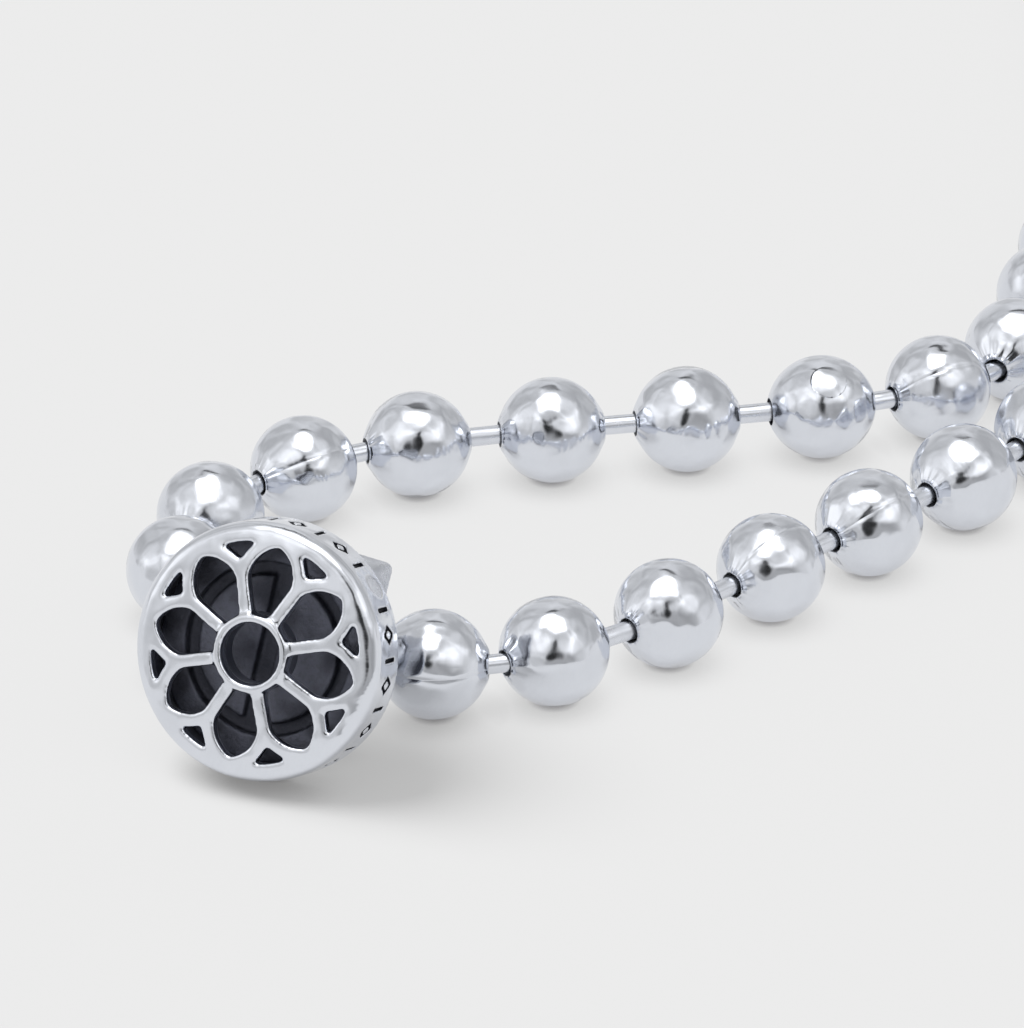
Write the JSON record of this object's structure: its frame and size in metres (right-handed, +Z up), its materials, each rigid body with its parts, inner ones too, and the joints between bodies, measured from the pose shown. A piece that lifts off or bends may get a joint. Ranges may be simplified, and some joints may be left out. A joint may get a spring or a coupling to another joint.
{
  "type": "ball chain necklace with round pierced clasp",
  "caption": "Chain of polished hollow balls on short knobbed bars, closed in a loop by a round clasp with a domed pierced face, an engraved band and a catch for the end ball.",
  "frame": {"origin": "middle of the necklace's outline as it lies, on the surface under it", "axes": "+X to the right and +Y away from the viewer as the necklace lies, with the clasp at low X and low Y and its face towards -Y; +Z up from the surface"},
  "size_m": [0.1542, 0.1626, 0.0148],
  "materials": {
    "bead_silver": "polished silver",
    "link_silver": "polished silver",
    "face_silver": "polished silver with blackened engraving",
    "back_silver": "darkened silver"
  },
  "bodies": {
    "root": {"beads": "bead_silver", "links": "link_silver", "joining_bead": "bead_silver", "bead_plug": "link_silver", "clasp_face": "face_silver", "clasp_back": "back_silver"}
  },
  "joints": []
}
